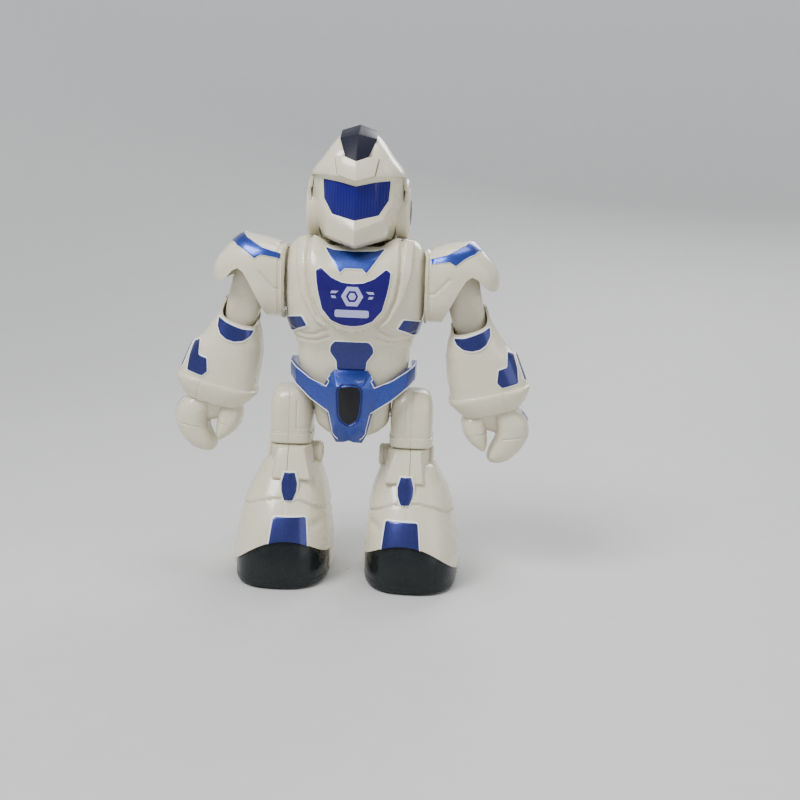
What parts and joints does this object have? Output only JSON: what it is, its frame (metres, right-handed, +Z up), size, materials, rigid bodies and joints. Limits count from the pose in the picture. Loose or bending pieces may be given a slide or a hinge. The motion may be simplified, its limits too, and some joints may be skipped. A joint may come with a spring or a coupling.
{
  "type": "walking humanoid toy robot",
  "caption": "Walking humanoid toy robot with hinged arms, turning head, swinging legs and a geared wheel drive in each boot.",
  "frame": {"origin": "on the ground, midway between the boots", "axes": "+Z up to the crown; the face looks along -Y; the robot's left arm is on +X"},
  "size_m": [0.2112, 0.0912, 0.265],
  "materials": {
    "ivory_plastic": "warm ivory moulded gloss plastic",
    "metallic_blue": "metallic blue paint on plastic",
    "indigo_plastic": "deep indigo gloss plastic",
    "visor_blue": "deep blue tinted gloss plastic",
    "black_gloss": "piano black gloss plastic",
    "grey_plastic": "matt moulded plastic",
    "cell_wrap": "printed cell sleeve, left blank",
    "circuit_board": "green solder mask",
    "steel": "plated steel",
    "brass": "turned brass",
    "white_nylon": "natural nylon",
    "wheel_rubber": "soft rubber"
  },
  "bodies": {
    "torso": {"chest_shell": "ivory_plastic", "back_shell": "ivory_plastic", "pelvis_shell": "ivory_plastic", "chest_plate": "indigo_plastic", "collar_trim": "metallic_blue", "torso_trims": "metallic_blue", "belt": "metallic_blue", "belt_window": "black_gloss", "battery_case": "grey_plastic", "battery_cells": "cell_wrap", "main_board": "circuit_board", "speaker": "grey_plastic", "body_screws": "steel", "hip_shaft": "steel", "shoulder_shafts": "steel"},
    "battery_door": {"battery_door": "ivory_plastic", "door_screw": "steel"},
    "power_switch": {"power_switch": "black_gloss"},
    "head": {"face_shell": "ivory_plastic", "helmet_shell": "ivory_plastic", "crown_panel": "black_gloss", "visor": "visor_blue", "ear_discs": "ivory_plastic", "ear_caps": "black_gloss", "eye_board": "circuit_board", "neck_hub": "grey_plastic"},
    "shoulder_left": {"shoulder_shell_left": "ivory_plastic", "shoulder_stripe_left": "metallic_blue"},
    "upper_arm_left": {"upper_arm_left": "ivory_plastic", "arm_pins_left": "steel"},
    "forearm_left": {"forearm_left": "ivory_plastic", "forearm_trims_left": "metallic_blue"},
    "hand_left": {"hand_left": "ivory_plastic"},
    "leg_left": {"inner_leg_shell_left": "ivory_plastic", "outer_leg_shell_left": "ivory_plastic", "leg_badges_left": "metallic_blue", "sole_left": "black_gloss", "gearbox_frame_left": "grey_plastic", "drive_motor_left": "steel"},
    "axle_left": {"drive_axle_left": "white_nylon", "wheels_left": "wheel_rubber"},
    "reduction_left": {"reduction_gear_left": "white_nylon"},
    "pinion_left": {"motor_pinion_left": "brass"},
    "shoulder_right": {"shoulder_shell_right": "ivory_plastic", "shoulder_stripe_right": "metallic_blue"},
    "upper_arm_right": {"upper_arm_right": "ivory_plastic", "arm_pins_right": "steel"},
    "forearm_right": {"forearm_right": "ivory_plastic", "forearm_trims_right": "metallic_blue"},
    "hand_right": {"hand_right": "ivory_plastic"},
    "leg_right": {"inner_leg_shell_right": "ivory_plastic", "outer_leg_shell_right": "ivory_plastic", "leg_badges_right": "metallic_blue", "sole_right": "black_gloss", "gearbox_frame_right": "grey_plastic", "drive_motor_right": "steel"},
    "axle_right": {"drive_axle_right": "white_nylon", "wheels_right": "wheel_rubber"},
    "reduction_right": {"reduction_gear_right": "white_nylon"},
    "pinion_right": {"motor_pinion_right": "brass"}
  },
  "joints": [
    {"name": "head_turn", "type": "hinge", "parent": "torso", "child": "head", "pos_m": [0, 0, 0.197], "axis": [0, 0, 1], "range_deg": [-30, 30]},
    {"name": "battery_door_pull", "type": "slide", "parent": "torso", "child": "battery_door", "axis": [0, 1, 0], "range_m": [0, 0.04]},
    {"name": "power_switch_slide", "type": "slide", "parent": "torso", "child": "power_switch", "axis": [1, 0, 0], "range_m": [-0.002, 0.002]},
    {"name": "shoulder_swing_left", "type": "hinge", "parent": "torso", "child": "shoulder_left", "pos_m": [0.044, 0, 0.176], "axis": [-1, 0, 0], "range_deg": [-45, 150]},
    {"name": "arm_raise_left", "type": "hinge", "parent": "shoulder_left", "child": "upper_arm_left", "pos_m": [0.0595, 0, 0.184], "axis": [0, -1, 0], "range_deg": [0, 12]},
    {"name": "elbow_left", "type": "hinge", "parent": "upper_arm_left", "child": "forearm_left", "pos_m": [0.06891, 0, 0.14512], "axis": [-0.972, 0, -0.2351], "range_deg": [0, 40]},
    {"name": "wrist_left", "type": "hinge", "parent": "forearm_left", "child": "hand_left", "pos_m": [0.08149, 0, 0.09312], "axis": [0.2351, 0, -0.972], "range_deg": [-90, 90]},
    {"name": "hip_left", "type": "hinge", "parent": "torso", "child": "leg_left", "pos_m": [0.036, 0, 0.098], "axis": [-1, 0, 0], "range_deg": [-12, 12]},
    {"name": "axle_spin_left", "type": "hinge", "parent": "leg_left", "child": "axle_left", "pos_m": [0.036, 0.019, 0.01], "axis": [1, 0, 0], "continuous": true},
    {"name": "reduction_spin_left", "type": "hinge", "parent": "leg_left", "child": "reduction_left", "pos_m": [0.036, 0.0149, 0.02128], "axis": [1, 0, 0], "continuous": true},
    {"name": "pinion_spin_left", "type": "hinge", "parent": "leg_left", "child": "pinion_left", "pos_m": [0.036, 0.00362, 0.02538], "axis": [1, 0, 0], "continuous": true},
    {"name": "shoulder_swing_right", "type": "hinge", "parent": "torso", "child": "shoulder_right", "pos_m": [-0.044, 0, 0.176], "axis": [-1, 0, 0], "range_deg": [-45, 150]},
    {"name": "arm_raise_right", "type": "hinge", "parent": "shoulder_right", "child": "upper_arm_right", "pos_m": [-0.0595, 0, 0.184], "axis": [0, 1, 0], "range_deg": [0, 12]},
    {"name": "elbow_right", "type": "hinge", "parent": "upper_arm_right", "child": "forearm_right", "pos_m": [-0.06891, 0, 0.14512], "axis": [-0.972, 0, 0.2351], "range_deg": [0, 40]},
    {"name": "wrist_right", "type": "hinge", "parent": "forearm_right", "child": "hand_right", "pos_m": [-0.08149, 0, 0.09312], "axis": [-0.2351, 0, -0.972], "range_deg": [-90, 90]},
    {"name": "hip_right", "type": "hinge", "parent": "torso", "child": "leg_right", "pos_m": [-0.036, 0, 0.098], "axis": [-1, 0, 0], "range_deg": [-12, 12]},
    {"name": "axle_spin_right", "type": "hinge", "parent": "leg_right", "child": "axle_right", "pos_m": [-0.036, 0.019, 0.01], "axis": [1, 0, 0], "continuous": true},
    {"name": "reduction_spin_right", "type": "hinge", "parent": "leg_right", "child": "reduction_right", "pos_m": [-0.036, 0.0149, 0.02128], "axis": [1, 0, 0], "continuous": true},
    {"name": "pinion_spin_right", "type": "hinge", "parent": "leg_right", "child": "pinion_right", "pos_m": [-0.036, 0.00362, 0.02538], "axis": [1, 0, 0], "continuous": true}
  ],
  "couplings": [
    {"joint": "hip_right", "follows": "hip_left", "ratio": -1},
    {"joint": "reduction_spin_left", "follows": "axle_spin_left", "ratio": -2.3333},
    {"joint": "pinion_spin_left", "follows": "axle_spin_left", "ratio": 7},
    {"joint": "reduction_spin_right", "follows": "axle_spin_right", "ratio": -2.3333},
    {"joint": "pinion_spin_right", "follows": "axle_spin_right", "ratio": 7}
  ]
}
